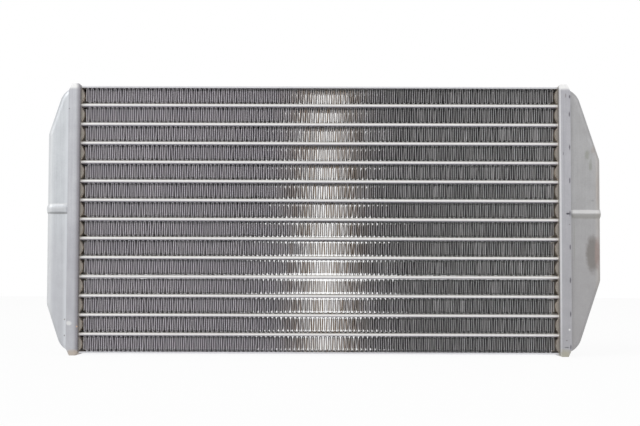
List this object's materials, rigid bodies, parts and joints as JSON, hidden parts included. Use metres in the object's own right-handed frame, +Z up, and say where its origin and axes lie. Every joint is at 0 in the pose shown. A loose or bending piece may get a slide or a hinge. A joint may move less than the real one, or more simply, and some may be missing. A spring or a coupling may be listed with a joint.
{
  "type": "heater core",
  "caption": "Brazed aluminium heater core: flat tubes, corrugated fins, side plates, folded header plates and pressed tank caps with slanted ends.",
  "frame": {"origin": "middle of the whole core's footprint, on the surface it stands on", "axes": "+X along the tubes towards the tank with the water stubs, +Y from the front to the back, +Z up across the tubes"},
  "size_m": [0.2907, 0.0506, 0.142],
  "materials": {
    "tube_metal": "satin",
    "fin_metal": "satin",
    "side_metal": "satin",
    "header_metal": "satin",
    "left_cap_metal": "satin",
    "right_cap_metal": "satin",
    "stub_metal": "satin"
  },
  "bodies": {
    "root": {"tube_01": "tube_metal", "tube_02": "tube_metal", "tube_03": "tube_metal", "tube_04": "tube_metal", "tube_05": "tube_metal", "tube_06": "tube_metal", "tube_07": "tube_metal", "tube_08": "tube_metal", "tube_09": "tube_metal", "tube_10": "tube_metal", "tube_11": "tube_metal", "tube_12": "tube_metal", "tube_13": "tube_metal", "fin_01": "fin_metal", "fin_02": "fin_metal", "fin_03": "fin_metal", "fin_04": "fin_metal", "fin_05": "fin_metal", "fin_06": "fin_metal", "fin_07": "fin_metal", "fin_08": "fin_metal", "fin_09": "fin_metal", "fin_10": "fin_metal", "fin_11": "fin_metal", "fin_12": "fin_metal", "fin_13": "fin_metal", "fin_14": "fin_metal", "side_plate_top": "side_metal", "side_plate_bottom": "side_metal", "header_plate_left": "header_metal", "header_plate_right": "header_metal", "tank_cap_left": "left_cap_metal", "tank_cap_right": "right_cap_metal", "baffle": "header_metal", "water_inlet": "stub_metal", "water_outlet": "stub_metal"}
  },
  "joints": []
}
